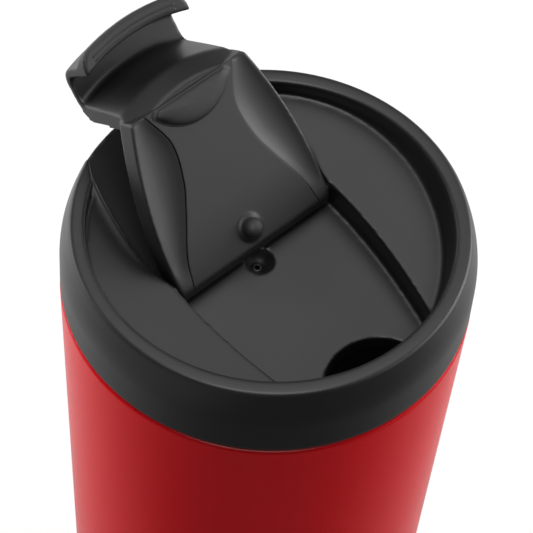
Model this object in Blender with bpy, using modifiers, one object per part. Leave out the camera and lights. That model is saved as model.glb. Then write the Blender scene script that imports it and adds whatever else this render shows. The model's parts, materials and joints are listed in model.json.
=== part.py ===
"""Insulated travel mug: vacuum mug, lift-off lid and a folding flap that hooks over the rim.

Run with: blender --background --python part.py
Sizes are in millimetres and are turned into metres as each mesh is made.
+Z is up, the origin is the middle of the face the mug stands on, and -Y is the drinking side.
Heights that end in RISE or DROP are counted from the lower edge of the lid's band.
"""
import math

import bmesh
import bpy
from mathutils import Matrix

MM = 0.001
STEPS = 60

# Clearances
GAP = 0.3
PIN_FIT = 0.05
WALL_GAP = 0.5
BAND_GAP = 0.5
CREST_GAP = 0.5

# Mug
BASE_R = 34.6
BAND_R = 41.0
BAND_Z = 152.0
STEEL = 0.8
VACUUM_GAP = 3.0
LINER_FLOOR = 14.0
STRAIGHT_MOUTH = 22.0
LIP_RISE = 6.5
FOOT_ROUND = 3.0
PAD_T = 0.9
SEAL_HOLE_R = 1.8
GETTER_R = 5.0
GETTER_T = 1.2

# Lid
BAND_WALL = 1.8
CREST_RISE = 17.4
CREST_INSET = 1.8
CREST_WIDTH = 1.7
DISH_DRAFT = 0.27
SHOULDER_RISE = 6.95
SHOULDER_SLOPE = math.atan(0.139)
SHOULDER_FLARE = 0.102
PLUG_DROP = 14.0
PLUG_GAP = 0.8
GASKET_H = 1.8
GASKET_DEPTH = 1.2
GASKET_DROP = 9.0
SKIRT_WALL = 3.0
ROOF_DROP = 4.2
PLATE_UNDER_T = 2.0
HOLE_R = 12.0
HOLE_LENGTH = 7.95
HOLE_FRONT_GAP = 2.1
HOLE_WALL = 1.8
VENT_R = 0.6
VENT_BOSS_R = 3.0

# Flap
PIVOT_Y = 5.55
PIVOT_RISE = 6.62
CLOSED_SLOPE = math.radians(7.6)
FOLD_SLOPE = math.radians(17.0)
REST_TURN = math.radians(-127.5)
PLATE_T = 5.0
PIN_R = 1.2
PIN_SEAT = 3.0
RISER_FOOT = 3.4
HINGE_HALF = 19.65
RIDGE_HALF = 14.5
SIDE_BULGE = 1.8
SIDE_GAP = 0.48
SIDE_FLARE = 1.3
HOOK_HALF = 13.3
HOOK_CORNER = 5.0
HOOK_T = 1.7
RISER_LOW_T = 2.45
RISER_TOP_T = 3.6
LEG_GAP = 0.6
LIP_REACH = 3.7
LIP_FALL = 0.6
LEG_END_RISE = 9.6
POCKET_DEPTH = 1.6
PANEL_START = 1.6
PLUG_FIT = 0.7
PLUG_HEAD = 2.8
PLUG_STEM_R = 3.0
VENT_REACH = 3.5
BALL_R = 2.25
BALL_STEM_R = 1.0
BALL_CLEAR = 0.5

# Worked out from the sizes above
HALF_T = PLATE_T / 2
CREST_OUT_R = BAND_R - CREST_INSET
DISH_TOP_R = CREST_OUT_R - CREST_WIDTH
NECK_R = BAND_R - BAND_WALL - GAP
MOUTH_R = NECK_R - STEEL - GAP - STEEL
PLUG_R = MOUTH_R - PLUG_GAP
SKIRT_IN_R = PLUG_R - SKIRT_WALL
SHELL_TOP = BAND_Z - BAND_GAP
TAPER = (BAND_R - BASE_R) / (SHELL_TOP - FOOT_ROUND)
SHELL_BOTTOM = PAD_T + GAP
DISC_R = BASE_R - FOOT_ROUND - GAP
FLOOR_UNDER = HALF_T + GAP


def dish_radius(rise):
    """Radius of the dish's sloping wall at a height above the band's lower edge."""
    return DISH_TOP_R - DISH_DRAFT * (CREST_RISE - rise)


PIVOT = Matrix.Translation((0, PIVOT_Y * MM, (BAND_Z + PIVOT_RISE) * MM))
CLOSED = PIVOT @ Matrix.Rotation(CLOSED_SLOPE, 4, "X")
FOLDED = PIVOT @ Matrix.Rotation(FOLD_SLOPE, 4, "X")
LID = Matrix.Translation((0, 0, BAND_Z * MM))
FLOOR_FRONT_RISE = (PIVOT_RISE - FLOOR_UNDER / math.cos(CLOSED_SLOPE)
                    - (PIVOT_Y + dish_radius(0)) * math.tan(CLOSED_SLOPE))
FRONT_R = dish_radius(FLOOR_FRONT_RISE)
RIDGE_R = FRONT_R - RISER_FOOT
RIDGE_S = (PIVOT_Y + HALF_T * math.sin(CLOSED_SLOPE) + RIDGE_R) / math.cos(CLOSED_SLOPE)
HOLE_FRONT_Y = -(FRONT_R - HOLE_FRONT_GAP)
HOLE_BACK_Y = HOLE_FRONT_Y + HOLE_LENGTH
HOLE_Y = HOLE_BACK_Y - HOLE_R


def clear_scene():
    for obj in list(bpy.data.objects):
        bpy.data.objects.remove(obj, do_unlink=True)


def new_collection(name):
    group = bpy.data.collections.new(name)
    bpy.context.scene.collection.children.link(group)
    return group


clear_scene()
MUG = new_collection("travel_mug")
CUTTERS = new_collection("cutters")


def make_material(name, colour, roughness, metallic):
    mat = bpy.data.materials.new(name)
    mat.use_nodes = True
    shader = mat.node_tree.nodes["Principled BSDF"]
    shader.inputs["Base Color"].default_value = (*colour, 1.0)
    shader.inputs["Roughness"].default_value = roughness
    shader.inputs["Metallic"].default_value = metallic
    return mat


def link(obj, material):
    """Put a part in the mug's collection, or a cutter, which has no material, out of sight."""
    for group in list(obj.users_collection):
        group.objects.unlink(obj)
    if material is None:
        CUTTERS.objects.link(obj)
        obj.hide_render = True
        obj.display_type = "WIRE"
    else:
        MUG.objects.link(obj)
        obj.data.materials.clear()
        obj.data.materials.append(material)
    return obj


def place(obj, matrix, parent=None):
    """Set an object's place in the world, or under its parent's frame."""
    obj.parent = parent
    obj.matrix_basis = matrix
    return obj


def smooth(obj):
    """Shade round faces smooth and keep edges sharper than 35 degrees."""
    for polygon in obj.data.polygons:
        polygon.use_smooth = True
    obj.data.set_sharp_from_angle(angle=math.radians(35))


def turned(name, outline, material=None, lift=0.0):
    """Turn an outline of (radius, height) points about Z. It runs down the outer side."""
    ring = all(radius > 0 for radius, _ in outline)
    mesh = bpy.data.meshes.new(name)
    verts = [(radius * MM, 0, height * MM) for radius, height in outline]
    edges = [(i, i + 1) for i in range(len(verts) - 1)]
    if ring:
        edges.append((len(verts) - 1, 0))
    mesh.from_pydata(verts, edges, [])
    obj = link(bpy.data.objects.new(name, mesh), material)
    screw = obj.modifiers.new("turn", "SCREW")
    screw.steps = STEPS
    screw.render_steps = STEPS
    screw.use_merge_vertices = True
    screw.merge_threshold = 1e-5
    screw.use_smooth_shade = True
    obj.location.z = lift * MM
    return obj


def prism(name, outline, low, high, material=None, curved=False):
    """Solid between two heights over an outline of (x, y) points, as a mesh.

    A curved outline has two long curved sides, each half of the points, and straight ends.
    """
    curve = bpy.data.curves.new(name + "_outline", "CURVE")
    curve.dimensions = "2D"
    curve.fill_mode = "BOTH"
    curve.extrude = (high - low) / 2 * MM
    curve.resolution_u = 4
    if curved:
        spline = curve.splines.new("BEZIER")
        count = len(outline)
        spline.bezier_points.add(count - 1)
        corners = (0, count // 2 - 1, count // 2, count - 1)
        for i, (point, (x, y)) in enumerate(zip(spline.bezier_points, outline)):
            point.co = (x * MM, y * MM, 0)
            handle = "VECTOR" if i in corners else "AUTO"
            point.handle_left_type = handle
            point.handle_right_type = handle
    else:
        spline = curve.splines.new("POLY")
        spline.points.add(len(outline) - 1)
        for point, (x, y) in zip(spline.points, outline):
            point.co = (x * MM, y * MM, 0, 1)
    spline.use_cyclic_u = True
    drawn = bpy.data.objects.new(name + "_outline", curve)
    bpy.context.scene.collection.objects.link(drawn)
    graph = bpy.context.evaluated_depsgraph_get()
    mesh = bpy.data.meshes.new_from_object(drawn.evaluated_get(graph))
    bpy.data.objects.remove(drawn, do_unlink=True)
    solid = bmesh.new()
    solid.from_mesh(mesh)
    bmesh.ops.remove_doubles(solid, verts=solid.verts, dist=1e-6)
    bmesh.ops.translate(solid, verts=solid.verts, vec=(0, 0, (low + high) / 2 * MM))
    bmesh.ops.recalc_face_normals(solid, faces=solid.faces)
    solid.to_mesh(mesh)
    solid.free()
    mesh.name = name
    return link(bpy.data.objects.new(name, mesh), material)


def rod(name, radius, start, end, axis="Z", material=None, sides=24):
    """Cylinder along one axis between two places on it."""
    mesh = bpy.data.meshes.new(name)
    solid = bmesh.new()
    bmesh.ops.create_cone(solid, cap_ends=True, segments=sides, radius1=radius * MM,
                          radius2=radius * MM, depth=(end - start) * MM)
    bmesh.ops.translate(solid, verts=solid.verts, vec=(0, 0, (start + end) / 2 * MM))
    if axis == "X":
        turn = Matrix.Rotation(math.pi / 2, 4, "Y")
        bmesh.ops.transform(solid, matrix=turn, verts=solid.verts)
    solid.to_mesh(mesh)
    solid.free()
    return link(bpy.data.objects.new(name, mesh), material)


def combine(target, other, operation):
    step = target.modifiers.new(operation.lower() + "_" + other.name, "BOOLEAN")
    step.operation = operation
    step.solver = "EXACT"
    step.object = other
    return target


def both_sides(half_widths):
    """Closed outline from (place along -Y, half width) pairs, right side out and left side back."""
    right = [(half, -along) for along, half in half_widths]
    left = [(-half, -along) for along, half in reversed(half_widths)]
    return right + left


def flap_half(along):
    """Half width of the flap's plate at a distance from the hinge."""
    part = along / RIDGE_S
    return HINGE_HALF + (RIDGE_HALF - HINGE_HALF) * part + SIDE_BULGE * 4 * part * (1 - part)


def spaced(start, end, count):
    return [start + (end - start) * i / (count - 1) for i in range(count)]


def d_outline(margin, front):
    """Drink hole's D: an arc towards the hinge and a straight side at the rim."""
    radius = HOLE_R + margin
    sweep = math.acos((front - HOLE_Y) / radius)
    angles = spaced(-sweep, sweep, 13)
    return [(radius * math.sin(a), HOLE_Y + radius * math.cos(a)) for a in angles]


PAINT = make_material("red_paint", (0.34, 0.012, 0.018), 0.32, 0.15)
BARE = make_material("bare_steel", (0.62, 0.61, 0.6), 0.32, 1.0)
PLASTIC = make_material("charcoal_plastic", (0.055, 0.055, 0.057), 0.5, 0.0)
SEAL = make_material("black_silicone", (0.035, 0.035, 0.036), 0.6, 0.0)
PAD = make_material("pad_rubber", (0.03, 0.03, 0.03), 0.8, 0.0)
SOLDER = make_material("seal_glass", (0.2, 0.2, 0.21), 0.3, 0.0)
TABLET = make_material("getter_metal", (0.25, 0.25, 0.26), 0.6, 1.0)


# Mug: outer wall, liner, base and what lies in the vacuum
def build_mug():
    lip_top = BAND_Z + LIP_RISE
    lip_under = lip_top - STEEL
    neck_top = lip_under - GAP
    foot_out = BASE_R - FOOT_ROUND
    half_round = FOOT_ROUND * (1 - math.sqrt(0.5))
    turned("outer_shell", [
        (NECK_R, neck_top),
        (NECK_R, SHELL_TOP),
        (BAND_R - 1.0, SHELL_TOP),
        (BAND_R - 0.3, SHELL_TOP - 0.3),
        (BAND_R, SHELL_TOP - 1.0),
        (BASE_R, SHELL_BOTTOM + FOOT_ROUND),
        (BASE_R - half_round, SHELL_BOTTOM + half_round),
        (foot_out, SHELL_BOTTOM),
        (foot_out, SHELL_BOTTOM + STEEL),
        (BASE_R - half_round - STEEL, SHELL_BOTTOM + half_round + STEEL / 2),
        (BASE_R - STEEL, SHELL_BOTTOM + FOOT_ROUND),
        (BAND_R - STEEL, SHELL_TOP - 1.0),
        (BAND_R - 1.0 - STEEL / 2, SHELL_TOP - STEEL),
        (NECK_R - STEEL, SHELL_TOP - STEEL),
        (NECK_R - STEEL, neck_top),
    ], PAINT)

    mouth_low = SHELL_TOP - STRAIGHT_MOUTH
    cup_r = BASE_R + TAPER * LINER_FLOOR - STEEL - VACUUM_GAP - STEEL
    corner = cup_r * 0.3
    turned("inner_liner", [
        (0, LINER_FLOOR),
        (cup_r - corner, LINER_FLOOR),
        (cup_r - corner * 0.29, LINER_FLOOR + corner * 0.29),
        (cup_r, LINER_FLOOR + corner),
        (MOUTH_R, mouth_low),
        (MOUTH_R, lip_top),
        (NECK_R, lip_top),
        (NECK_R, lip_under),
        (MOUTH_R + STEEL, lip_under),
        (MOUTH_R + STEEL, mouth_low),
        (cup_r + STEEL, LINER_FLOOR + corner),
        (cup_r + STEEL - corner * 0.29, LINER_FLOOR - STEEL + corner * 0.29),
        (cup_r + STEEL - corner, LINER_FLOOR - STEEL),
        (0, LINER_FLOOR - STEEL),
    ], BARE)

    disc_top = SHELL_BOTTOM + STEEL
    turned("base_disc", [
        (DISC_R, disc_top),
        (DISC_R, SHELL_BOTTOM),
        (SEAL_HOLE_R, SHELL_BOTTOM),
        (SEAL_HOLE_R, disc_top),
    ], BARE)
    turned("seal_bead", [
        (0, disc_top + GAP + STEEL),
        (SEAL_HOLE_R + STEEL, disc_top + GAP + STEEL / 2),
        (SEAL_HOLE_R + STEEL, disc_top + GAP),
        (SEAL_HOLE_R - GAP, disc_top + GAP),
        (SEAL_HOLE_R - GAP, SHELL_BOTTOM),
        (0, SHELL_BOTTOM),
    ], SOLDER)
    getter_top = LINER_FLOOR - STEEL - GAP
    rod("getter", GETTER_R, getter_top - GETTER_T, getter_top, material=TABLET)
    turned("base_pad", [
        (0, PAD_T),
        (DISC_R - STEEL, PAD_T),
        (DISC_R - STEEL, 0),
        (0, 0),
    ], PAD)


# Lid: turned body, with the dish, channel, fold-back ramp, notch and holes cut out
def dish_cutter():
    """Everything that is open inside the rim."""
    reach = BAND_R + 20
    flare = reach * SHOULDER_FLARE
    dish = prism("dish_cut", [(-reach, flare), (0, 0), (reach, flare), (reach, reach), (-reach, reach)],
                 -reach, reach)
    tilt = Matrix.Rotation(math.pi / 2 + SHOULDER_SLOPE, 4, "X")
    place(dish, LID @ Matrix.Translation((0, 0, SHOULDER_RISE * MM)) @ tilt)

    front = [(s, flap_half(s) + SIDE_GAP + SIDE_FLARE * (s / RIDGE_S) ** 3)
             for s in spaced(-HALF_T, RIDGE_S + 8, 9)]
    channel = prism("channel_cut", both_sides(front), -FLOOR_UNDER, reach)
    place(channel, CLOSED)
    combine(dish, channel, "UNION")

    low = -BAND_R / 3
    cone = turned("dish_wall_cut", [
        (0, CREST_RISE + 3),
        (dish_radius(CREST_RISE + 3), CREST_RISE + 3),
        (dish_radius(low), low),
        (0, low),
    ], None, BAND_Z)
    return combine(dish, cone, "INTERSECT")


def build_lid():
    gasket_r = PLUG_R - GASKET_DEPTH
    gasket_top = -GASKET_DROP + GASKET_H / 2
    roof = LIP_RISE + CREST_GAP
    lid = turned("lid_body", [
        (0, CREST_RISE),
        (CREST_OUT_R - 0.4, CREST_RISE),
        (CREST_OUT_R, CREST_RISE - 0.25),
        (CREST_OUT_R + (BAND_R - CREST_OUT_R) * 0.45, CREST_RISE * 0.86),
        (CREST_OUT_R + (BAND_R - CREST_OUT_R) * 0.8, CREST_RISE * 0.72),
        (BAND_R, CREST_RISE * 0.52),
        (BAND_R, 0.5),
        (BAND_R - 0.5, 0),
        (NECK_R + GAP, 0),
        (NECK_R + GAP, roof),
        (PLUG_R, roof),
        (PLUG_R, gasket_top + GAP),
        (gasket_r, gasket_top + GAP),
        (gasket_r, gasket_top - GASKET_H - GAP),
        (PLUG_R, gasket_top - GASKET_H - GAP),
        (PLUG_R, -PLUG_DROP + 0.8),
        (PLUG_R - 0.8, -PLUG_DROP),
        (0, -PLUG_DROP),
    ], PLASTIC, BAND_Z)
    combine(lid, dish_cutter(), "DIFFERENCE")

    # Ramp behind the hinge, which runs out through the rim as a notch for the folded flap
    ramp_end = (BAND_R + 8 - PIVOT_Y) / math.cos(FOLD_SLOPE)
    back = [(-s, flap_half(s) + SIDE_GAP) for s in spaced(-HALF_T, RIDGE_S, 9)]
    back.append((-ramp_end, flap_half(RIDGE_S) + SIDE_GAP))
    ramp = prism("ramp_cut", both_sides(back), -FLOOR_UNDER, BAND_R)
    place(ramp, FOLDED)
    combine(lid, ramp, "DIFFERENCE")

    # Hollow of the plug, round the walls of the drink hole and the vent
    vent_y = PIVOT_Y - VENT_REACH * math.cos(CLOSED_SLOPE) + HALF_T * math.sin(CLOSED_SLOPE)
    hollow = turned("plug_hollow_cut", [
        (0, -ROOF_DROP),
        (SKIRT_IN_R, -ROOF_DROP),
        (SKIRT_IN_R, -PLUG_DROP - 5),
        (0, -PLUG_DROP - 5),
    ], None, BAND_Z)
    drink_wall = prism("drink_wall_keep", d_outline(HOLE_WALL, -BAND_R), -PLUG_DROP - 9, 0)
    place(drink_wall, LID)
    combine(hollow, drink_wall, "DIFFERENCE")
    vent_wall = rod("vent_wall_keep", VENT_BOSS_R, -PLUG_DROP - 9, 0)
    place(vent_wall, LID @ Matrix.Translation((0, vent_y * MM, 0)))
    combine(hollow, vent_wall, "DIFFERENCE")
    combine(lid, hollow, "DIFFERENCE")

    drink_hole = prism("drink_hole_cut", d_outline(0, HOLE_FRONT_Y), -PLUG_DROP - 9, CREST_RISE / 5)
    place(drink_hole, LID)
    combine(lid, drink_hole, "DIFFERENCE")
    vent = rod("vent_cut", VENT_R, -PLUG_DROP - 9, CREST_RISE / 4, sides=16)
    place(vent, LID @ Matrix.Translation((0, vent_y * MM, 0)))
    combine(lid, vent, "DIFFERENCE")
    dimple = turned("vent_dimple_cut", [
        (0, BALL_R),
        (BALL_R + BALL_CLEAR, BALL_R),
        (BALL_R + BALL_CLEAR, 0),
        (0.7 * (BALL_R + BALL_CLEAR), -0.7 * (BALL_R + BALL_CLEAR)),
        (0, -BALL_R - BALL_CLEAR),
    ], None)
    place(dimple, CLOSED @ Matrix.Translation((0, -VENT_REACH * MM, -BALL_R * MM)))
    combine(lid, dimple, "DIFFERENCE")

    pin_half = HINGE_HALF + SIDE_GAP + PIN_SEAT
    socket = rod("pin_socket_cut", PIN_R + PIN_FIT, -pin_half - GAP, pin_half + GAP, "X")
    place(socket, PIVOT)
    combine(lid, socket, "DIFFERENCE")
    place(rod("hinge_pin", PIN_R, -pin_half, pin_half, "X", BARE), PIVOT)

    plate = turned("lid_base_plate", [
        (0, -PLUG_DROP + GAP + PLATE_UNDER_T),
        (SKIRT_IN_R - GAP, -PLUG_DROP + GAP + PLATE_UNDER_T),
        (SKIRT_IN_R - GAP, -PLUG_DROP + GAP),
        (0, -PLUG_DROP + GAP),
    ], PLASTIC, BAND_Z)
    drink_room = prism("drink_wall_cut", d_outline(HOLE_WALL + GAP, -BAND_R), -PLUG_DROP - 9, 0)
    place(drink_room, LID)
    combine(plate, drink_room, "DIFFERENCE")
    vent_room = rod("vent_wall_cut", VENT_BOSS_R + GAP, -PLUG_DROP - 9, 0)
    place(vent_room, LID @ Matrix.Translation((0, vent_y * MM, 0)))
    combine(plate, vent_room, "DIFFERENCE")

    turned("lid_gasket", [
        (MOUTH_R - GAP, gasket_top - 0.5),
        (MOUTH_R - GAP, gasket_top - GASKET_H + 0.5),
        (MOUTH_R - GAP - 0.5, gasket_top - GASKET_H),
        (gasket_r + GAP, gasket_top - GASKET_H),
        (gasket_r + GAP, gasket_top),
        (MOUTH_R - GAP - 0.5, gasket_top),
    ], SEAL, BAND_Z)


# Flap: drawn closed, in the hinge's own frame, and turned open with its empty
def hook_outline():
    """Section of the riser, the bridge over the rim and the leg with its thumb lip."""
    top = CREST_RISE + CREST_GAP + HOOK_T
    under = CREST_RISE + CREST_GAP
    leg_r = BAND_R + LEG_GAP
    plate_end = PIVOT_RISE - RIDGE_S * math.sin(CLOSED_SLOPE)
    foot = plate_end + HALF_T
    riser_low = dish_radius(foot) - WALL_GAP
    riser_top = dish_radius(under) - WALL_GAP
    return [
        (riser_top - RISER_TOP_T + 0.8, top),
        (leg_r + HOOK_T - 1.8, top),
        (leg_r + HOOK_T - 0.3, top - 1.2),
        (leg_r + HOOK_T + 0.5, LEG_END_RISE + 3.5),
        (leg_r + LIP_REACH, LEG_END_RISE - LIP_FALL + 1.5),
        (leg_r + LIP_REACH, LEG_END_RISE - LIP_FALL),
        (leg_r, LEG_END_RISE),
        (leg_r, under - 1.5),
        (leg_r - 0.8, under),
        (riser_top, under),
        (riser_low, foot),
        (RIDGE_R + 1.6, plate_end - HALF_T + 0.8),
        (RIDGE_R - 0.8, plate_end - HALF_T + 0.6),
        (RIDGE_R - 1.2, plate_end),
        (riser_low - RISER_LOW_T, foot + 0.4),
        (riser_top - RISER_TOP_T, top - 0.8),
    ]


def rounded_front(half, back, front, corner):
    """Plan of the hook: straight sides and two rounded corners at the thumb lip."""
    turns = [math.radians(a) for a in (0, 30, 60, 90)]
    right = [(half - corner + corner * math.cos(a), front + corner - corner * math.sin(a)) for a in turns]
    left = [(-x, y) for x, y in reversed(right)]
    return [(half, back)] + right + left + [(-half, back)]


def panel_outline(margin):
    """Waisted outline of the inset panel, from the hinge end to the ridge."""
    end = RIDGE_S - WALL_GAP
    return both_sides([
        (PANEL_START - margin, 0.82 * HINGE_HALF + margin),
        (RIDGE_S * 0.41, 0.57 * HINGE_HALF + margin),
        (RIDGE_S * 0.76, 0.42 * HINGE_HALF + margin),
        (end + margin, 0.57 * HINGE_HALF + margin),
    ])


def build_flap():
    pivot = bpy.data.objects.new("flap_pivot", None)
    MUG.objects.link(pivot)
    pivot.location = PIVOT.translation
    from_lid = CLOSED.inverted() @ LID

    plate_plan = both_sides([(s, flap_half(s)) for s in spaced(0, RIDGE_S, 9)])
    shell = prism("flap_shell", plate_plan, -HALF_T, HALF_T, PLASTIC)
    place(shell, Matrix.Identity(4), pivot)
    barrel = rod("flap_barrel", HALF_T, -HINGE_HALF, HINGE_HALF, "X")
    place(barrel, Matrix.Identity(4), pivot)
    combine(shell, barrel, "UNION")
    inside = turned("flap_limit", [
        (0, CREST_RISE),
        (dish_radius(CREST_RISE) - WALL_GAP, CREST_RISE),
        (dish_radius(-BAND_R / 3) - WALL_GAP, -BAND_R / 3),
        (0, -BAND_R / 3),
    ])
    place(inside, from_lid, pivot)
    combine(shell, inside, "INTERSECT")

    hook = turned("hook_ring", hook_outline())
    place(hook, from_lid, pivot)
    lip_front = -(BAND_R + LEG_GAP + LIP_REACH)
    plan = rounded_front(HOOK_HALF, -RIDGE_R / 2, lip_front, HOOK_CORNER)
    width = prism("hook_width", plan, -BAND_R, BAND_R)
    place(width, from_lid, pivot)
    combine(hook, width, "INTERSECT")
    combine(shell, hook, "UNION")

    pocket_top = -HALF_T + POCKET_DEPTH
    pocket = prism("panel_pocket", panel_outline(GAP), -PLATE_T, pocket_top, curved=True)
    place(pocket, Matrix.Identity(4), pivot)
    combine(shell, pocket, "DIFFERENCE")
    bore = rod("pin_bore", PIN_R + PIN_FIT, -HINGE_HALF - 2, HINGE_HALF + 2, "X")
    place(bore, Matrix.Identity(4), pivot)
    combine(shell, bore, "DIFFERENCE")

    panel = prism("flap_panel", panel_outline(0), -HALF_T, pocket_top - GAP, PLASTIC, curved=True)
    place(panel, Matrix.Identity(4), pivot)
    stem_y = (HOLE_BACK_Y + HOLE_FRONT_Y) / 2 - PIVOT_Y
    stem_place = Matrix.Translation((0, stem_y * MM, 0))
    ball_place = Matrix.Translation((0, -VENT_REACH * MM, 0))
    stem_hole = place(rod("stem_hole", PLUG_STEM_R + GAP, -PLATE_T, PLATE_T), stem_place, pivot)
    combine(panel, stem_hole, "DIFFERENCE")
    ball_hole = place(rod("ball_hole", BALL_STEM_R + GAP, -PLATE_T, PLATE_T), ball_place, pivot)
    combine(panel, ball_hole, "DIFFERENCE")

    # The hole runs straight down, so the plug's plan is set back from it at the middle of its head
    head_top = -HALF_T - GAP
    lean = (head_top - PLUG_HEAD / 2) * math.sin(CLOSED_SLOPE)
    hole_plan = d_outline(-PLUG_FIT, HOLE_FRONT_Y + 2 * PLUG_FIT)
    head_plan = [(x, (y - PIVOT_Y + lean) / math.cos(CLOSED_SLOPE)) for x, y in hole_plan]
    plug = prism("spout_plug", head_plan, head_top - PLUG_HEAD, head_top, SEAL)
    place(plug, Matrix.Identity(4), pivot)
    stem = place(rod("plug_stem", PLUG_STEM_R, head_top - PLUG_HEAD / 2, pocket_top - GAP), stem_place, pivot)
    combine(plug, stem, "UNION")

    ball = turned("vent_plug", [
        (0, pocket_top - GAP),
        (BALL_STEM_R, pocket_top - GAP),
        (BALL_STEM_R, head_top),
        (BALL_R, head_top),
        (0.866 * BALL_R, -1.5 * BALL_R),
        (0.5 * BALL_R, -1.866 * BALL_R),
        (0, -2 * BALL_R),
    ], SEAL)
    place(ball, ball_place, pivot)

    pivot.rotation_euler.x = REST_TURN


build_mug()
build_lid()
build_flap()
for part in MUG.objects:
    if part.type == "MESH":
        smooth(part)
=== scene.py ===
"""Looks of the insulated travel mug: red vacuum mug, charcoal lid and open flap.

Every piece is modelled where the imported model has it, in metres, and rides on its body.
Outlines are drawn in millimetres. Heights of the lid are counted from the lower edge of its band,
and the flap is drawn shut, in the frame of its hinge, before it is turned open.
"""
import json
import math

import bpy
from mathutils import Matrix, Vector


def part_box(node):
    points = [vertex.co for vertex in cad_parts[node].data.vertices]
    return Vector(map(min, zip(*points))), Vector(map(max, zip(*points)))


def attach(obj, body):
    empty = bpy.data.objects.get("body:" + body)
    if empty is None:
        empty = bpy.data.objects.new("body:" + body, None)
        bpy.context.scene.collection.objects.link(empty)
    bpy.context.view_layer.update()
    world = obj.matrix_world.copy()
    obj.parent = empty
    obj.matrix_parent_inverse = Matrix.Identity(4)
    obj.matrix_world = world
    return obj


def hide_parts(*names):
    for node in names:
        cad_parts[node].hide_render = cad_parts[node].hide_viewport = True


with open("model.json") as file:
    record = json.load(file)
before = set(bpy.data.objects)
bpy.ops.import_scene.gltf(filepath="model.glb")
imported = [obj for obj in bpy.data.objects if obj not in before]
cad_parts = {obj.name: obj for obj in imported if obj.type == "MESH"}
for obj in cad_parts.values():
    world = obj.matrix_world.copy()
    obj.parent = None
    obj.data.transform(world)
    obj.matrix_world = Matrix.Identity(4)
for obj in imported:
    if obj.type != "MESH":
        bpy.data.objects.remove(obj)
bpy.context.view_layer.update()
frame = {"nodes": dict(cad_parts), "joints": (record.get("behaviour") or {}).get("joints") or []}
MM = 0.001

# Lid's crest above the lower edge of its band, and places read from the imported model
CREST_RISE = 17.4
HINGE = next(joint for joint in frame["joints"] if joint["name"] == "flap_hinge")
BAND_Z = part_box("lid_body")[1].z / MM - CREST_RISE
BAND_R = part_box("lid_body")[1].x / MM
PIVOT_Y = HINGE["pos_m"][1] / MM
PIVOT_RISE = HINGE["pos_m"][2] / MM - BAND_Z

# Mug
BASE_R = 34.6
TAPER_RUN = 148.5
PAINT_TOP = BAND_Z - 0.5
NECK_R = 38.9
NECK_TOP = BAND_Z + 5.4
LINER_R = 37.0
LINER_FOOT_R = 30.6
LINER_BEND = BAND_Z - 22.5
LINER_TOP = BAND_Z + 6.5
LINER_FLOOR = 14.0
WALL = 0.8

# Lid
CREST_R = BAND_R - 1.75
DISH_TOP_R = BAND_R - 3.5
DISH_DRAFT = 0.27
SHOULDER_RISE = 6.95
SHOULDER_TILT = math.atan(0.139)
SHOULDER_FLARE = 0.102
GROOVE_ROOF = 7.0
NECK_ROOM_R = BAND_R - 1.8
PLUG_R = 36.2
SKIRT_R = 33.2
SLAB_DROP = 4.2
PLUG_DROP = 14.0
HOLE_R = 12.0
HOLE_BACK = -22.4
HOLE_FRONT = -30.35
VENT_BORE_R = 0.95

# Ramp behind the hinge, into which the flap folds
RAMP_RINGS = 10
RAMP_FOOT = 0.5
RAMP_DEPTH = 5.45
RAMP_RISE = 0.161
RAMP_ROUND = 2.4

# Flap
SHUT_TILT = math.radians(7.6)
FOLD_TILT = math.radians(17.0)
OPENED = math.radians(135.1)
HALF_T = 2.5
FLOOR_UNDER = 2.8
RIDGE_S = 35.3
HINGE_HALF = 19.65
RIDGE_HALF = 14.5
SIDE_BULGE = 1.8
FLAP_GAP = 0.48
HOOK_HALF = 13.3
LEG_R = BAND_R + 0.6
LIP_R = LEG_R + 3.7
LIP_UNDER = 9.5
LIP_SLOPE = 0.135
SCOOP = 0.085
SCOOP_LEAST = 3.2
SEAM_LIFT = 0.2
PANEL_T = 1.3
PANEL_GAP = 0.14
MOUND = 0.45
BALL_S = 3.5
BALL_R = 2.1
BALL_DROP = 3.4

# Places along the flap, each with the half width of its middle panel
PANEL_STATIONS = [(-4, 17.4), (0, 16.6), (5.4, 15.4), (14.6, 11.2),
                  (19.4, 9.3), (27.4, 8.3), (34.7, 11.2), (38, 13.0)]

# Places of the lid, the hinge, the shut flap and the folded one, and the turn that opens the shut flap
LID = Matrix.Translation((0, 0, BAND_Z * MM))
PIVOT = Matrix.Translation((0, PIVOT_Y * MM, (BAND_Z + PIVOT_RISE) * MM))
SHUT = PIVOT @ Matrix.Rotation(SHUT_TILT, 4, "X")
FOLDED = PIVOT @ Matrix.Rotation(FOLD_TILT, 4, "X")
OPEN = PIVOT @ Matrix.Rotation(-OPENED, 4, "X") @ PIVOT.inverted()


# Hand tools
def pick(*pieces):
    """Leave edit mode and select only these pieces."""
    if bpy.context.object and bpy.context.object.mode != "OBJECT":
        bpy.ops.object.mode_set(mode="OBJECT")
    bpy.ops.object.select_all(action="DESELECT")
    for piece in pieces:
        piece.select_set(True)
        bpy.context.view_layer.objects.active = piece


def fillet(corners, closed=False, count=6):
    """Points of an outline of (u, v, radius) corners, with each corner rounded by an arc."""
    points = []
    last = len(corners) - 1
    for i, (u, v, radius) in enumerate(corners):
        here = Vector((u, v))
        if radius == 0 or (not closed and i in (0, last)):
            points.append(here)
            continue
        to_before = Vector(corners[i - 1][:2]) - here
        to_after = Vector(corners[(i + 1) % (last + 1)][:2]) - here
        half = to_before.angle(to_after) / 2
        room = 0.48 * min(to_before.length, to_after.length)
        reach = min(radius / math.tan(half), room)
        to_before.normalize()
        to_after.normalize()
        middle = here + (to_before + to_after).normalized() * reach / math.cos(half)
        first = here + to_before * reach - middle
        final = here + to_after * reach - middle
        turn = math.pi - 2 * half
        for k in range(count + 1):
            swing = turn * k / count
            spoke = first * math.sin(turn - swing) + final * math.sin(swing)
            points.append(middle + spoke / math.sin(turn))
    return points


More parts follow.
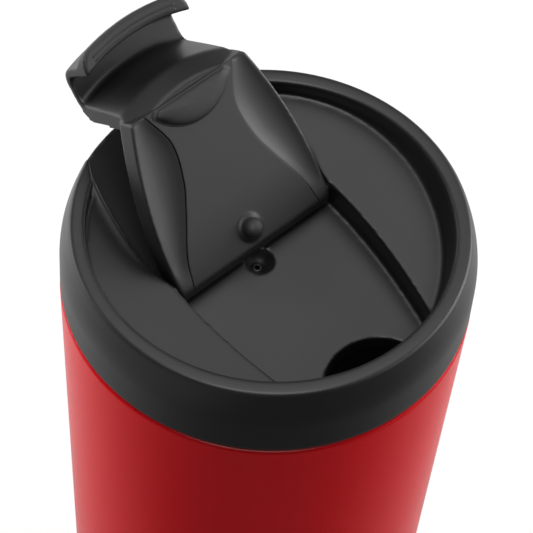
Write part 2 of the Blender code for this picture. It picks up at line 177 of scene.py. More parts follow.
def draw(name, points):
    """Start from a plane merged to one point, and extrude it along the outline."""
    pick()
    bpy.ops.mesh.primitive_plane_add(size=MM)
    piece = bpy.context.object
    piece.name = name
    piece.data.name = name
    bpy.ops.object.mode_set(mode="EDIT")
    bpy.ops.mesh.select_all(action="SELECT")
    bpy.ops.mesh.merge(type="CENTER")
    bpy.ops.transform.translate(value=points[0])
    for here, there in zip(points, points[1:]):
        bpy.ops.mesh.extrude_region_move(TRANSFORM_OT_translate={"value": there - here})
    bpy.ops.mesh.select_all(action="SELECT")
    return piece


def extrude_up(height):
    """Extrude what is selected in edit mode along Z."""
    bpy.ops.mesh.extrude_region_move(TRANSFORM_OT_translate={"value": (0, 0, height * MM)})


def face_out(piece):
    """Turn the faces of a closed mesh outwards and leave edit mode."""
    pick(piece)
    bpy.ops.object.mode_set(mode="EDIT")
    bpy.ops.mesh.select_all(action="SELECT")
    bpy.ops.mesh.normals_make_consistent(inside=False)
    pick(piece)
    return piece


def spin(name, corners, steps, ring=False, angle=2 * math.pi, count=6):
    """Turn an outline of (radius, height, rounding) corners about the mug's axis."""
    outline = fillet(corners, ring, count)
    piece = draw(name, [Vector((r * MM, 0, h * MM)) for r, h in outline])
    if ring:
        bpy.ops.mesh.edge_face_add()
        bpy.ops.mesh.delete(type="ONLY_FACE")
        bpy.ops.mesh.select_all(action="SELECT")
    bpy.ops.mesh.spin(steps=steps, angle=angle, center=(0, 0, 0), axis=(0, 0, 1))
    bpy.ops.mesh.select_all(action="SELECT")
    bpy.ops.mesh.remove_doubles(threshold=1e-7)
    return face_out(piece)


def slab(name, outline, low, high):
    """Fill an outline of (x, y) points and extrude it between two heights."""
    piece = draw(name, [Vector((x * MM, y * MM, low * MM)) for x, y in outline])
    bpy.ops.mesh.edge_face_add()
    extrude_up(high - low)
    return face_out(piece)


def shaped_grid(name, across, along, shape):
    """Grid whose points, -1 to 1 across and 0 to 1 along, go where the shape puts them."""
    pick()
    bpy.ops.mesh.primitive_grid_add(x_subdivisions=across, y_subdivisions=along, size=2)
    sheet = bpy.context.object
    sheet.name = name
    for vertex in sheet.data.vertices:
        vertex.co = Vector(shape(vertex.co.x, (1 - vertex.co.y) / 2)) * MM
    return sheet


def thicken(sheet, depth, flat=None):
    """Extrude a shaped grid, and level its far side at a height if one is given."""
    pick(sheet)
    bpy.ops.object.mode_set(mode="EDIT")
    bpy.ops.mesh.select_all(action="SELECT")
    extrude_up(depth)
    if flat is not None:
        bpy.ops.transform.resize(value=(1, 1, 0), center_override=(0, 0, flat * MM))
    return face_out(sheet)


def settle(piece, matrix):
    """Move a piece to its place and leave its object at the origin."""
    pick(piece)
    piece.matrix_world = matrix
    bpy.ops.object.transform_apply(location=True, rotation=True, scale=True)
    return piece


def apply(piece, kind, **settings):
    """Add a modifier with these settings and apply it."""
    pick(piece)
    step = piece.modifiers.new(kind.lower(), kind)
    for key, value in settings.items():
        setattr(step, key, value)
    bpy.ops.object.modifier_apply(modifier=step.name)


def carve(piece, tool, operation="DIFFERENCE"):
    """Cut a piece with a tool, join the two or keep what they share, and drop the tool."""
    apply(piece, "BOOLEAN", operation=operation, solver="EXACT", object=tool)
    bpy.data.objects.remove(tool, do_unlink=True)


def melt(piece, grain, passes):
    """Remesh a carved piece and relax it, which rounds every edge as a mould does."""
    apply(piece, "REMESH", mode="VOXEL", voxel_size=grain * MM, adaptivity=0.0)
    apply(piece, "SMOOTH", factor=0.5, iterations=passes)


def drop_crumbs(piece):
    """Keep only the largest loose part of a carved piece."""
    name = piece.name
    pick(piece)
    bpy.ops.object.mode_set(mode="EDIT")
    bpy.ops.mesh.select_all(action="SELECT")
    bpy.ops.mesh.separate(type="LOOSE")
    bpy.ops.object.mode_set(mode="OBJECT")
    parts = sorted(bpy.context.selected_objects, key=lambda part: len(part.data.vertices))
    for crumb in parts[:-1]:
        bpy.data.objects.remove(crumb, do_unlink=True)
    parts[-1].name = name
    parts[-1].data.name = name
    return parts[-1]


def polish(piece, angle=None):
    """Shade smooth, all over or only across edges flatter than the angle."""
    pick(piece)
    if angle is None:
        bpy.ops.object.shade_smooth()
    else:
        bpy.ops.object.shade_smooth_by_angle(angle=math.radians(angle))
    return piece


def spaced(start, end, count):
    """Evenly spaced values, both ends included."""
    return [start + (end - start) * i / (count - 1) for i in range(count)]


def both_sides(halves):
    """Closed outline from (place towards the drink hole, half width) pairs."""
    right = [(half, -along) for along, half in halves]
    left = [(-half, -along) for along, half in reversed(halves)]
    return right + left


def step_up(value, low, high):
    """Smooth step from 0 at low to 1 at high."""
    t = min(max((value - low) / (high - low), 0.0), 1.0)
    return t * t * (3 - 2 * t)


# Forms that the lid and the flap share
def dish_radius(rise):
    """Radius of the dish's sloping wall at a height."""
    return DISH_TOP_R - DISH_DRAFT * (CREST_RISE - rise)


def flap_half(along):
    """Half width of the flap at a distance from its hinge."""
    part = along / RIDGE_S
    return HINGE_HALF + (RIDGE_HALF - HINGE_HALF) * part + SIDE_BULGE * 4 * part * (1 - part)


def slot_half(along):
    """Half width of the lid's room for the flap."""
    return flap_half(along) + FLAP_GAP


def panel_half(along):
    """Half width of the waisted middle panel, on a smooth curve through its stations."""
    last = len(PANEL_STATIONS) - 1
    i = 0
    while i < last - 1 and along > PANEL_STATIONS[i + 1][0]:
        i += 1
    before, here, there, after = (PANEL_STATIONS[min(max(k, 0), last)] for k in range(i - 1, i + 3))
    span = there[0] - here[0]
    slope_here = (there[1] - before[1]) / (there[0] - before[0])
    slope_there = (after[1] - here[1]) / (after[0] - here[0])
    t = (along - here[0]) / span
    return ((2 * t ** 3 - 3 * t ** 2 + 1) * here[1] + (t ** 3 - 2 * t ** 2 + t) * span * slope_here
            + (3 * t ** 2 - 2 * t ** 3) * there[1] + (t ** 3 - t ** 2) * span * slope_there)


def wing_form(across, along):
    """Place across the flap, and lift of its underside, where 0.5 is the panel's side and 1 the flap's."""
    inner = panel_half(along)
    outer = flap_half(along)
    wing = max(abs(across) - 0.5, 0.0) / 0.5
    x = math.copysign(min(abs(across) / 0.5, 1.0) * inner + wing * (outer - inner), across)
    hollow = min(wing, 1.0)
    scoop = SCOOP * max(outer - inner, SCOOP_LEAST) * 4 * hollow * (1 - hollow) + SEAM_LIFT * (1 - hollow)
    return x, scoop * step_up(along, 0.6, 6.0)


def d_outline(margin, front):
    """The drink hole's D: an arc towards the hinge and a straight side at the rim."""
    radius = HOLE_R + margin
    centre = HOLE_BACK - HOLE_R
    sweep = math.acos((front - centre) / radius)
    return [(radius * math.sin(a), centre + radius * math.cos(a)) for a in spaced(-sweep, sweep, 41)]


def at_vent(drop):
    """Place on the vent's axis, this far below the middle of the shut flap's thickness."""
    return SHUT @ Matrix.Translation((0, -BALL_S * MM, -drop * MM))


# Mug
def make_shell():
    """Painted outer wall, drawn in to a bare neck under the lid and rolled in at the foot."""
    inside = NECK_R - WALL
    taper = (BAND_R - BASE_R) / TAPER_RUN
    shell = spin("painted_shell", [
        (inside, NECK_TOP, 0), (NECK_R, NECK_TOP, 0.2), (NECK_R, PAINT_TOP, 0.5),
        (BAND_R, PAINT_TOP, 0.9), (BASE_R, 3.2, 3.4), (31.9, 1.2, 0.6), (31.6, 2.0, 0.2),
        (BASE_R - 1.2, 3.4, 2.6), (BAND_R - WALL - taper, BAND_Z - 1.6, 0.5),
        (inside, BAND_Z - 1.3, 0.3), (inside, NECK_TOP, 0),
    ], steps=192)
    return polish(shell, 40)


def make_liner():
    """Steel cup with a lip turned out over the neck."""
    outside = LINER_R + WALL
    under = LINER_FLOOR - WALL
    liner = spin("steel_liner", [
        (0, LINER_FLOOR, 0), (LINER_FOOT_R, LINER_FLOOR, 9.0), (LINER_R, LINER_BEND, 14),
        (LINER_R, LINER_TOP, 0.35), (NECK_R, LINER_TOP, 0.35), (NECK_R, BAND_Z + 5.75, 0.2),
        (outside, BAND_Z + 5.7, 0.3), (outside, LINER_BEND, 14), (LINER_FOOT_R + WALL, under, 9.0),
        (0, under, 0),
    ], steps=128)
    return polish(liner, 40)


def make_foot():
    """Rubber pad with a fine groove near its edge."""
    foot = spin("rubber_foot", [
        (0, 0.9, 0), (30.5, 0.9, 0.2), (30.5, 0.0, 0.35), (26.5, 0.0, 0.2), (26.2, 0.35, 0.15),
        (25.4, 0.35, 0.15), (25.1, 0.0, 0.2), (0, 0.0, 0),
    ], steps=128, count=4)
    return polish(foot, 40)


# Lid
def make_lid_top():
    """Rim, band and sloping floor, carved and then relaxed."""
    lid = spin("lid_top", [
        (0, -SLAB_DROP, 0), (PLUG_R, -SLAB_DROP, 0), (PLUG_R, GROOVE_ROOF, 0),
        (NECK_ROOM_R, GROOVE_ROOF, 0), (NECK_ROOM_R, 0, 0.2), (BAND_R - 0.05, 0, 0.5),
        (BAND_R + 0.12, 11.0, 22), (CREST_R, CREST_RISE, 1.1), (0, CREST_RISE, 0),
    ], steps=240)
    settle(lid, LID)

    # Dish between the shoulders with the flap's channel, inside the sloping wall and above the ramp's floor
    reach = BAND_R + 20
    flare = reach * SHOULDER_FLARE
    dish = slab("dish_tool", [(-reach, flare), (0, 0), (reach, flare), (reach, reach), (-reach, reach)],
                -reach, reach)
    tilt = Matrix.Rotation(math.pi / 2 + SHOULDER_TILT, 4, "X")
    settle(dish, LID @ Matrix.Translation((0, 0, SHOULDER_RISE * MM)) @ tilt)
    front = [(s, slot_half(s) + 1.3 * (max(s, 0) / RIDGE_S) ** 3)
             for s in spaced(-HALF_T, RIDGE_S + 8, 25)]
    channel = settle(slab("channel_tool", both_sides(front), -FLOOR_UNDER, reach), SHUT)
    carve(dish, channel, "UNION")
    low = -BAND_R / 3
    cone = spin("wall_tool", [
        (0, CREST_RISE + 3, 0), (BAND_R + 5, CREST_RISE + 3, 0), (BAND_R + 5, CREST_RISE - 0.02, 0),
        (DISH_TOP_R - 1.7, CREST_RISE - 0.02, 1.0), (dish_radius(13.0), 13.0, 1.0),
        (dish_radius(low), low, 0), (0, low, 0),
    ], steps=240, count=8)
    settle(cone, LID)
    carve(dish, cone, "INTERSECT")
    kept = [(-s, slot_half(s)) for s in spaced(12, RIDGE_S + 4, 12)]
    carve(dish, settle(slab("ramp_floor_tool", both_sides(kept), -30, -FLOOR_UNDER), FOLDED))
    carve(lid, dish)

    # Ramp out through the rim, drink hole, and vent with its dimple
    carve(lid, make_ramp_tool(reach))
    carve(lid, settle(slab("drink_tool", d_outline(0, HOLE_FRONT), -20, 3.5), LID))
    dimple = spin("dimple_tool", [
        (0, 3, 0), (3.1, 3, 0), (3.1, 0, 0.5), (2.7, -0.95, 1.0), (2.0, -2.2, 1.0), (1.2, -2.95, 0.6),
        (VENT_BORE_R, -3.05, 0), (VENT_BORE_R, -12, 0), (0, -12, 0),
    ], steps=48)
    carve(lid, settle(dimple, at_vent(FLOOR_UNDER)))
    melt(lid, grain=0.36, passes=7)
    lid = drop_crumbs(lid)
    soften_ramp(lid)
    apply(lid, "DECIMATE", ratio=0.46)
    return polish(lid)


def make_ramp_tool(reach):
    """Room for the folded flap, whose sides round over into the lid's shoulder."""
    back = [(-s, slot_half(s)) for s in spaced(-HALF_T, RIDGE_S, 40)]
    back.append((-(BAND_R + 8), slot_half(RIDGE_S)))
    ramp = slab("ramp_tool", both_sides(back), -FLOOR_UNDER, -FLOOR_UNDER + RAMP_FOOT)
    for lift in [1] * RAMP_RINGS + [reach]:
        top = max(vertex.co.z for vertex in ramp.data.vertices)
        bpy.ops.object.mode_set(mode="EDIT")
        bpy.ops.mesh.select_all(action="DESELECT")
        bpy.ops.object.mode_set(mode="OBJECT")
        for vertex in ramp.data.vertices:
            vertex.select = vertex.co.z > top - 1e-6
        bpy.ops.object.mode_set(mode="EDIT")
        extrude_up(lift)
        bpy.ops.object.mode_set(mode="OBJECT")
    for vertex in ramp.data.vertices:
        ring = round(vertex.co.z / MM + FLOOR_UNDER - RAMP_FOOT)
        if ring < 1:
            continue
        s = vertex.co.y / MM
        turn = math.pi / 2 * min(ring, RAMP_RINGS) / RAMP_RINGS
        depth = RAMP_DEPTH - RAMP_RISE * min(max(s, 0), 25)
        rounding = RAMP_ROUND * step_up(s, 0, 10) * (1 - step_up(s, 24, 33))
        vertex.co.x += math.copysign(rounding * (1 - math.cos(turn)) * MM, vertex.co.x)
        if ring <= RAMP_RINGS:
            vertex.co.z = (depth * math.sin(turn) + RAMP_FOOT - FLOOR_UNDER) * MM
    return settle(face_out(ramp), FOLDED)


def soften_ramp(lid):
    """Relax the ramp's long sides further, so that they run softly into the shoulder."""
    soft = lid.vertex_groups.new(name="ramp_sides")
    flat = FOLDED.inverted()
    for vertex in lid.data.vertices:
        x, y, z = flat @ vertex.co / MM
        rise = vertex.co.z / MM - BAND_Z
        wall = dish_radius(rise) - math.hypot(vertex.co.x, vertex.co.y) / MM
        beside = abs(x) - flap_half(min(max(y, 0), RIDGE_S))
        share = step_up(beside, 0.6, 1.8) * (1 - step_up(beside, 4.0, 6.5))
        share *= step_up(y, 4, 10) * (1 - step_up(y, 25, 31)) * step_up(wall, 1.0, 2.5)
        if share > 0 and z > -FLOOR_UNDER - 1:
            soft.add([vertex.index], share, "REPLACE")
    apply(lid, "SMOOTH", factor=0.5, iterations=240, vertex_group="ramp_sides")


def make_skirt():
    """Wall of the plug, with the groove of the seal ring."""
    top = -SLAB_DROP + 0.3
    groove_r = 35.0
    groove_top = -7.8
    groove_end = -10.2
    skirt = spin("lid_skirt", [
        (PLUG_R, top, 0), (PLUG_R, groove_top, 0.2), (groove_r, groove_top, 0.2),
        (groove_r, groove_end, 0.2), (PLUG_R, groove_end, 0.2), (PLUG_R, -PLUG_DROP, 0.8),
        (SKIRT_R, -PLUG_DROP, 0.3), (SKIRT_R, top, 0),
    ], steps=160, ring=True)
    settle(skirt, LID)
    return polish(skirt, 40)


def make_drink_well():
    """Wall round the drink hole below the lid's floor."""
    well = slab("drink_well", d_outline(2.2, HOLE_FRONT - 1.2), -PLUG_DROP, -SLAB_DROP + 0.2)
    carve(well, slab("well_tool", d_outline(0.7, HOLE_FRONT), -PLUG_DROP - 3, 0))
    apply(well, "BEVEL", width=0.25 * MM, segments=2, limit_method="ANGLE")
    settle(well, LID)
    return polish(well, 40)


def make_gasket():
    """Seal ring with two lips, in the groove of the skirt."""
    gasket = spin("lid_seal_ring", [
        (35.3, -8.1, 0.1), (35.9, -8.1, 0.2), (36.7, -8.6, 0.25), (35.95, -9.0, 0.15), (36.7, -9.4, 0.25),
        (35.9, -9.9, 0.2), (35.3, -9.9, 0.1),
    ], steps=160, ring=True)
    settle(gasket, LID)
    return polish(gasket, 50)


def make_vent_nipple():
    """Small cone with an air hole in the vent's dimple."""
    nipple = spin("vent_nipple", [
        (0.5, -2.0, 0), (0.5, 0.0, 0.08), (0.85, 0.0, 0.2), (1.5, -0.8, 0.3),
        (2.0, -1.1, 0), (2.0, -2.0, 0),
    ], steps=40, ring=True)
    ball_gap = 0.15
    settle(nipple, at_vent(BALL_DROP + BALL_R + ball_gap))
    return polish(nipple, 50)


# Flap
def make_flap_cover():
    """Plate with two scooped wings, riser, hook over the rim and thumb lip."""
    def underside(across, part):
        s = part * RIDGE_S
        x, lift = wing_form(across, s)
        return x, -s, lift - HALF_T

    plate = shaped_grid("flap_cover", 80, 72, underside)
    thicken(plate, 2 * HALF_T, flat=HALF_T)
    edges = {"segments": 3, "limit_method": "ANGLE", "angle_limit": math.radians(60)}
    apply(plate, "BEVEL", width=0.7 * MM, **edges)
    pick()
    bpy.ops.mesh.primitive_cylinder_add(vertices=64, radius=HALF_T * MM, depth=2 * HINGE_HALF * MM,
                                        rotation=(0, math.pi / 2, 0))
    barrel = bpy.context.object
    apply(barrel, "BEVEL", width=0.55 * MM, **edges)
    carve(plate, barrel, "UNION")
    settle(plate, SHUT)

    # Nothing of the plate reaches the dish's wall
    limit = spin("limit_tool", [
        (0, CREST_RISE, 0), (dish_radius(CREST_RISE) - 0.5, CREST_RISE, 0),
        (dish_radius(-14) - 0.5, -14, 0), (0, -14, 0),
    ], steps=160)
    carve(plate, settle(limit, LID), "INTERSECT")

    # Hook, turned about the mug's axis and cut to its width
    hook = spin("hook_tool", hook_outline(), steps=240, ring=True)
    wide = RIDGE_HALF - 0.1
    side = [(wide, -14, 0), (wide, -26, 8), (HOOK_HALF, -33, 8), (HOOK_HALF, -LIP_R, 5.2)]
    plan = fillet(side + [(-x, y, rounding) for x, y, rounding in reversed(side)], closed=True)
    carve(hook, slab("width_tool", plan, -40, 40), "INTERSECT")
    settle(hook, LID)
    carve(hook, make_under_tool())
    carve(plate, hook, "UNION")
    settle(plate, SHUT.inverted())
    melt(plate, grain=0.28, passes=12)
    settle(plate, SHUT)

    # Pocket of the middle panel, cut sharp
    pocket = both_sides([(s, panel_half(s)) for s in spaced(-0.8, RIDGE_S - 0.6, 60)])
    carve(plate, settle(slab("pocket_tool", pocket, -HALF_T - 3, -HALF_T + 1.4), SHUT))
    settle(plate, OPEN)
    return polish(plate, 40)


def make_under_tool():
    """Block below the flap's hollow underside, which trims the hook's foot to it."""
    start = 10
    length = 34
    spread = 1.8

    def underside(across, part):
        s = start + part * length
        x, lift = wing_form(across * spread, min(s, RIDGE_S))
        return x, -s, lift - HALF_T

    under = shaped_grid("under_tool", 80, 40, underside)
    return settle(thicken(under, -30), SHUT)


def hook_outline():
    """Section of the riser, the bridge over the rim and the leg with its thumb lip."""
    top = CREST_RISE + 2.2
    under = CREST_RISE + 0.5
    plate_end = PIVOT_RISE - RIDGE_S * math.sin(SHUT_TILT)
    foot = plate_end + HALF_T
    riser_low = dish_radius(foot) - 0.5
    riser_top = dish_radius(under) - 2.0
    ridge = dish_radius(-1.3) - 3.4
    return [
        (riser_top - 2.6, top, 4.5),
        (LEG_R + 1.5, top, 4.2),
        (LEG_R + 1.7, 13.2, 1.8),
        (LIP_R, 10.7, 0.5),
        (LIP_R, 9.0, 0.4),
        (LEG_R, LIP_UNDER, 0.35),
        (LEG_R, under, 1.6),
        (riser_top, under, 1.5),
        (riser_low, foot, 4.0),
        (ridge + 1.4, plate_end - HALF_T + 0.2, 1.0),
        (ridge - 0.8, plate_end - HALF_T + 0.1, 0),
        (ridge - 1.2, plate_end, 0),
        (riser_low - 2.45, foot + 0.4, 1.2),
    ]


def make_flap_panel():
    """Inset middle panel with a low mound round the vent ball."""
    length = RIDGE_S + 1.0
    past_hinge = 0.9
    proud = 0.02

    def underside(across, part):
        s = part * length - past_hinge
        x = across * (panel_half(s) - PANEL_GAP)
        away = math.hypot(x, s - BALL_S)
        mound = MOUND * (1 - step_up(away, BALL_R, BALL_R + 1.1))
        barrel = math.sqrt(HALF_T ** 2 - min(s, 0) ** 2)
        return x, -s, -mound - barrel - proud

    panel = shaped_grid("flap_inlay", 96, 110, underside)
    thicken(panel, PANEL_T, flat=PANEL_T - HALF_T)
    apply(panel, "BEVEL", width=0.12 * MM, segments=2, limit_method="ANGLE", angle_limit=math.radians(60))
    settle(panel, OPEN @ SHUT)
    return polish(panel, 50)


def make_spout_pad():
    """Rounded D that stops the drink hole, drawn in from a thin skirt to a low dome ring by ring."""
    radius, centre, half = 11.6, 40.0, 8.8
    arc = [(x, math.sqrt(radius ** 2 - x ** 2) - centre, 0) for x in spaced(half, -half, 31)]
    ends = [(-10.3, -34.1, 0.9), (-9.2, -35.4, 1.0), (9.2, -35.4, 1.0), (10.3, -34.1, 0.9)]
    plan = fillet(arc + ends, closed=True)
    middle = Vector((0, -32.2, 0)) * MM
    pad = draw("spout_pad", [Vector((x, y, 0.3 - HALF_T)) * MM for x, y in plan])
    bpy.ops.mesh.edge_face_add()
    extrude_up(-0.42)
    for scale, rise in ((0.975, 0.08), (0.95, 0.06), (0.985, 0.25), (0.985, 0.2), (0.97, 0.2), (0.95, 0.2),
                        (0.92, 0.18), (0.87, 0.16), (0.78, 0.14), (0.6, 0.1), (0.4, 0.03)):
        extrude_up(-rise)
        bpy.ops.transform.resize(value=(scale, scale, 1), center_override=middle)
    settle(face_out(pad), OPEN @ SHUT)
    return polish(pad, 60)


def make_lip_ribs():
    """Two fine grip ribs along the thumb lip."""
    ribs = []
    for radius in (LEG_R + 0.9, LEG_R + 1.9):
        height = LIP_UNDER - LIP_SLOPE * (radius - LEG_R)
        ring = [(radius + 0.2 * math.cos(a), height + 0.14 * math.sin(a), 0)
                for a in spaced(0, 7 * math.pi / 4, 8)]
        rib = spin("lip_ribs", ring, steps=48, ring=True, angle=math.radians(28))
        bpy.ops.object.mode_set(mode="EDIT")
        bpy.ops.mesh.select_all(action="SELECT")
        bpy.ops.mesh.fill_holes(sides=0)
        ribs.append(settle(face_out(rib), OPEN @ LID @ Matrix.Rotation(math.radians(-76), 4, "Z")))
    pick(*ribs)
    bpy.ops.object.join()
    joined = bpy.context.object
    joined.name = "lip_ribs"
    return polish(joined)


def make_vent_ball():
    """Ball on a stem through the panel."""
    stem = [(0, -0.9, 0), (1.0, -0.9, 0), (1.0, -1.8, 0.2), (BALL_R, -1.9, 0.2)]
    arc = [(BALL_R * math.cos(a), -BALL_DROP - BALL_R * math.sin(a), 0) for a in spaced(0, math.pi / 2, 14)]
    tip = (0, -BALL_DROP - BALL_R, 0)
    ball = spin("vent_ball", stem + arc[:-1] + [tip], steps=64)
    settle(ball, OPEN @ at_vent(0))
    return polish(ball, 60)


# Shader maths
class Wire:
    """A value in a material, on which sums and products add Math nodes."""

    def __init__(self, finish, socket):
        self.finish = finish
        self.socket = socket

    def _with(self, operation, first, second):
        return self.finish.node("Math", {"operation": operation}, [first, second])

    def __add__(self, other):
        return self._with("ADD", self, other)

    def __radd__(self, other):
        return self._with("ADD", other, self)

    def __mul__(self, other):
        return self._with("MULTIPLY", self, other)

    def __rmul__(self, other):
        return self._with("MULTIPLY", other, self)


class Finish:
    """A material under construction."""

    def __init__(self, name):
        self.material = bpy.data.materials.new(name)
        self.material.use_nodes = True
        self.tree = self.material.node_tree
        self.shader = self.tree.nodes["Principled BSDF"]

    def node(self, kind, settings=None, inputs=(), output=0):
        """Add a node, set it up, feed its sockets by place or name, and return one of its outputs."""
        made = self.tree.nodes.new("ShaderNode" + kind)
        for key, value in (settings or {}).items():
            setattr(made, key, value)
        pairs = inputs.items() if isinstance(inputs, dict) else enumerate(inputs)
        for key, value in pairs:
            self.feed(made.inputs[key], value)
        return Wire(self, made.outputs[output])

    def feed(self, socket, value):
        """Link a value to a socket, or set the socket to a number or colour."""
        if isinstance(value, Wire):
            self.tree.links.new(value.socket, socket)
        else:
            socket.default_value = value

    def set(self, **values):
        """Feed the shader's sockets by their names in small letters."""
        for key, value in values.items():
            self.feed(self.shader.inputs[key.replace("_", " ").title().replace("Ior", "IOR")], value)

    def place(self):
        """Place on the piece, in metres."""
        return self.node("TexCoord", output="Object")

    def along(self, way):
        """Place on the surface, measured along a direction."""
        return self.node("VectorMath", {"operation": "DOT_PRODUCT"}, [self.place(), way], output="Value")

    def noise(self, scale, detail):
        """Cloudy change over the surface, from 0 to 1."""
        return self.node("TexNoise", None, {"Vector": self.place(), "Scale": scale, "Detail": detail,
                                            "Roughness": 0.55}, output="Fac")

    def ramp(self, value, low, high, to_low=0.0, to_high=1.0):
        """Map a value from one range to another, and hold it at the ends."""
        return self.node("MapRange", {"clamp": True}, [value, low, high, to_low, to_high])

    def mix(self, share, first, second):
        """Blend two colours."""
        return self.node("Mix", {"data_type": "RGBA"},
                         {"Factor": share, 6: first, 7: second}, output=2)

    def bump(self, height, strength, distance):
        """Raise the surface by a value."""
        self.feed(self.shader.inputs["Normal"],
                  self.node("Bump", None, {"Height": height, "Strength": strength, "Distance": distance}))


def charcoal_plastic():
    """Moulded plastic with a fine grain and a faint change of shade."""
    shade, roughness, grain = 0.012, 0.42, 0.1
    finish = Finish("charcoal_plastic")
    cloud = finish.noise(55, 4)
    fine = finish.noise(2600, 2)
    dark = (shade * 0.9, shade * 0.9, shade * 0.92, 1)
    light = (shade * 1.1, shade * 1.1, shade * 1.12, 1)
    finish.set(base_color=finish.mix(cloud, dark, light),
               roughness=finish.ramp(cloud, 0.3, 0.7, roughness - 0.03, roughness + 0.03))
    finish.bump(fine, grain, 0.00012)
    return finish.material


def red_paint():
    """Satin paint up to the lid, and bare steel on the neck above it."""
    finish = Finish("red_satin_paint")
    cloud = finish.noise(40, 3)
    peel = finish.noise(900, 2)
    red = finish.mix(cloud, (0.575, 0.005, 0.009, 1), (0.615, 0.006, 0.011, 1))
    height = finish.node("SeparateXYZ", None, [finish.place()], output="Z")
    neck = finish.ramp(height, PAINT_TOP * MM, (PAINT_TOP + 0.1) * MM)
    bare = finish.mix(cloud, (0.52, 0.51, 0.5, 1), (0.62, 0.61, 0.6, 1))
    satin = finish.ramp(cloud, 0.3, 0.7, 0.2, 0.24)
    finish.set(base_color=finish.mix(neck, red, bare), roughness=satin + neck * 0.1, metallic=neck,
               specular_ior_level=0.12)
    finish.bump(peel, 0.05, 0.0001)
    return finish.material


def brushed_steel():
    """Steel with fine lines round the mug."""
    finish = Finish("brushed_steel")
    stretched = finish.node("Mapping", None, {"Vector": finish.place(), "Scale": (12, 12, 2600)})
    lines = finish.node("TexNoise", None, {"Vector": stretched, "Scale": 1.0, "Detail": 3.0}, output="Fac")
    finish.set(base_color=finish.mix(lines, (0.5, 0.49, 0.48, 1), (0.66, 0.65, 0.64, 1)),
               roughness=finish.ramp(lines, 0.3, 0.7, 0.26, 0.4), metallic=1.0)
    finish.bump(lines, 0.08, 0.0001)
    return finish.material


def soft_rubber(name, shade):
    """Matt rubber with a fine grain."""
    finish = Finish(name)
    cloud = finish.noise(70, 3)
    fine = finish.noise(1500, 3)
    dark = (shade * 0.85,) * 3 + (1,)
    light = (shade * 1.15,) * 3 + (1,)
    finish.set(base_color=finish.mix(cloud, dark, light),
               roughness=finish.ramp(fine, 0.3, 0.7, 0.55, 0.68))
    finish.bump(fine, 0.12, 0.0001)
    return finish.material


def wear(piece, material, body, *nodes, slot):
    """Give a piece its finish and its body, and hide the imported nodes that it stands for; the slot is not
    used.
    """
    piece.data.materials.clear()
    piece.data.materials.append(material)
    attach(piece, body)
    if nodes:
        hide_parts(*nodes)


# Pieces, with their finishes and bodies
PLASTIC = charcoal_plastic()
PAINT = red_paint()
STEEL = brushed_steel()
SILICONE = soft_rubber("black_silicone", 0.016)
RUBBER = soft_rubber("foot_rubber", 0.03)

wear(make_shell(), PAINT, "mug", "outer_shell", slot="red_paint")
wear(make_liner(), STEEL, "mug", "inner_liner", slot="bare_steel")
wear(make_foot(), RUBBER, "mug", "base_pad", slot="pad_rubber")
wear(make_lid_top(), PLASTIC, "lid", "lid_body", slot="charcoal_plastic")
wear(make_skirt(), PLASTIC, "lid", slot="charcoal_plastic")
wear(make_drink_well(), PLASTIC, "lid", slot="charcoal_plastic")
wear(make_vent_nipple(), PLASTIC, "lid", slot="charcoal_plastic")
wear(make_gasket(), SILICONE, "lid", "lid_gasket", slot="black_silicone")
wear(make_flap_cover(), PLASTIC, "flap", "flap_shell", slot="charcoal_plastic")
wear(make_flap_panel(), PLASTIC, "flap", "flap_panel", slot="charcoal_plastic")
wear(make_spout_pad(), SILICONE, "flap", "spout_plug", slot="black_silicone")
wear(make_lip_ribs(), PLASTIC, "flap", slot="charcoal_plastic")
wear(make_vent_ball(), SILICONE, "flap", "vent_plug", slot="black_silicone")
for node, material in (("base_disc", STEEL), ("seal_bead", RUBBER), ("getter", STEEL), ("hinge_pin", STEEL),
                       ("lid_base_plate", PLASTIC)):
    frame["nodes"][node].data.materials.clear()
    frame["nodes"][node].data.materials.append(material)


# Floor, light and camera, with directions away from the camera and to its left
FLOOR_GREY = 0.62
FLOOR_PALE = 0.95
WHITE_SHARE = 0.8
FILL = 0.11
AWAY = (0.724, 0.69, 0)
ASIDE = (-0.69, 0.724, 0)
SIDE_AIM = (0, 0, 0.1)
SIDE_SIZE = (0.8, 0.5)


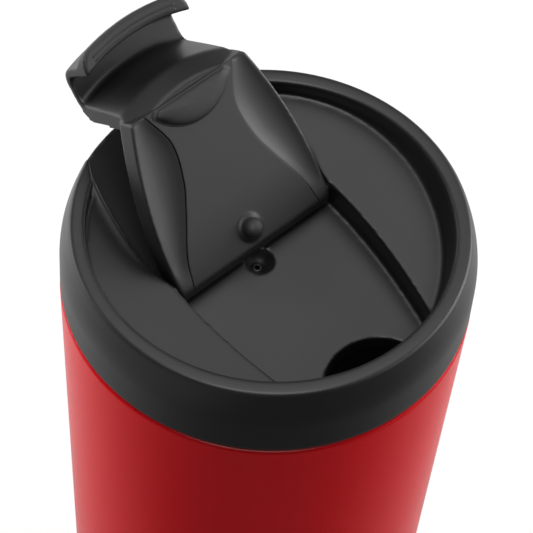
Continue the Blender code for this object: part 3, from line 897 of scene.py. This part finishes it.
def white_stage():
    """Pale floor, white to the camera, and darker towards the camera in the mug's reflections."""
    pick()
    bpy.ops.mesh.primitive_plane_add(size=6)
    floor = bpy.context.object
    floor.name = "pale_floor"
    finish = Finish("pale_floor")
    rays = finish.node("LightPath", output="Is Camera Ray")
    mirrored = Wire(finish, rays.socket.node.outputs["Is Glossy Ray"])
    grey = (FLOOR_GREY,) * 3 + (1,)
    pale = (FLOOR_PALE,) * 3 + (1,)
    finish.set(base_color=finish.mix(rays, grey, pale), roughness=0.9)
    bright = (finish.ramp(finish.along(AWAY), -0.09, 0.17, 0.075, 1.0)
              + finish.ramp(finish.along(ASIDE), 0.07, 0.2, 0.0, 0.35))
    strength = finish.mix(mirrored, (1, 1, 1, 1), bright)
    glow = finish.node("Emission", None, {"Color": strength, "Strength": 1.0})
    share = rays * WHITE_SHARE + mirrored
    both = finish.node("MixShader", None, [share, Wire(finish, finish.shader.outputs[0]), glow])
    finish.feed(finish.tree.nodes["Material Output"].inputs["Surface"], both)
    floor.data.materials.append(finish.material)

    world = bpy.data.worlds.new("studio")
    bpy.context.scene.world = world
    world.use_nodes = True
    tree = world.node_tree
    fill = tree.nodes["Background"]
    fill.inputs["Color"].default_value = (1, 1, 1, 1)
    fill.inputs["Strength"].default_value = FILL
    white = tree.nodes.new("ShaderNodeBackground")
    white.inputs["Color"].default_value = (1, 1, 1, 1)
    seen = tree.nodes.new("ShaderNodeLightPath")
    both = tree.nodes.new("ShaderNodeMixShader")
    tree.links.new(seen.outputs["Is Camera Ray"], both.inputs["Fac"])
    tree.links.new(fill.outputs[0], both.inputs[1])
    tree.links.new(white.outputs[0], both.inputs[2])
    tree.links.new(both.outputs[0], tree.nodes["World Output"].inputs["Surface"])


def soft_box(name, place, target, size, watts, lights="all"):
    """Area lamp that lights everything, or shows only in gleams, or lights without a gleam."""
    lamp = bpy.data.lights.new(name, "AREA")
    lamp.shape = "RECTANGLE"
    lamp.size, lamp.size_y = size
    lamp.energy = watts
    box = bpy.data.objects.new(name, lamp)
    bpy.context.scene.collection.objects.link(box)
    box.location = place
    box.visible_diffuse = lights != "gleams"
    box.visible_glossy = lights != "colours"
    box.rotation_euler = (Vector(place) - Vector(target)).to_track_quat("Z", "Y").to_euler()


def photo_camera():
    """Camera fitted to the photo's rim, band and channel."""
    focal_px, frame_px = 3500.0, 533.0
    azimuth, height, roll = math.radians(-46.387), math.radians(54.138), math.radians(5.026)
    distance, aside, below = 694.0, 0.041, -2.204
    level = math.cos(height)
    back = Vector((math.sin(azimuth) * level, -math.cos(azimuth) * level, math.sin(height)))
    right = Vector((math.cos(azimuth), math.sin(azimuth), 0))
    up = back.cross(right)
    across = math.cos(roll) * right + math.sin(roll) * up
    upward = -math.sin(roll) * right + math.cos(roll) * up
    place = Vector((0, 0, BAND_Z)) + back * distance - across * aside - upward * below
    lens = bpy.data.cameras.new("photo_camera")
    lens.sensor_width = 36.0
    lens.lens = focal_px / frame_px * lens.sensor_width
    lens.clip_start = 0.01
    camera = bpy.data.objects.new("photo_camera", lens)
    bpy.context.scene.collection.objects.link(camera)
    turn = Matrix((across, upward, back)).transposed()
    camera.matrix_world = Matrix.Translation(place * MM) @ turn.to_4x4()
    bpy.context.scene.camera = camera


white_stage()
soft_box("top_box", (0.20, 0.12, 1.15), (0, 0, 0.16), (1.15, 1.15), 7.0)
soft_box("front_box", (0.45, -0.95, 0.42), (0, 0, 0.17), (0.6, 0.5), 1.2)
soft_box("camera_box", (-0.46, -0.43, 1.2), (0, 0, 0.16), (0.8, 0.6), 9.0, lights="gleams")
soft_box("wing_gleam", (0.79, -0.46, 0.40), (0, 0, 0.17), (0.7, 0.5), 4.2, lights="gleams")
for side, place in (("left", (-0.335, 0.77, 0.28)), ("right", (0.81, -0.25, 0.28))):
    soft_box(side + "_box", place, SIDE_AIM, SIDE_SIZE, 9.4, lights="colours")
for side, place in (("left", (-0.25, 0.8, 0.28)), ("right", (0.83, -0.17, 0.28))):
    soft_box(side + "_gleam", place, SIDE_AIM, SIDE_SIZE, 3.0, lights="gleams")
photo_camera()
bpy.context.scene.view_settings.view_transform = "Standard"
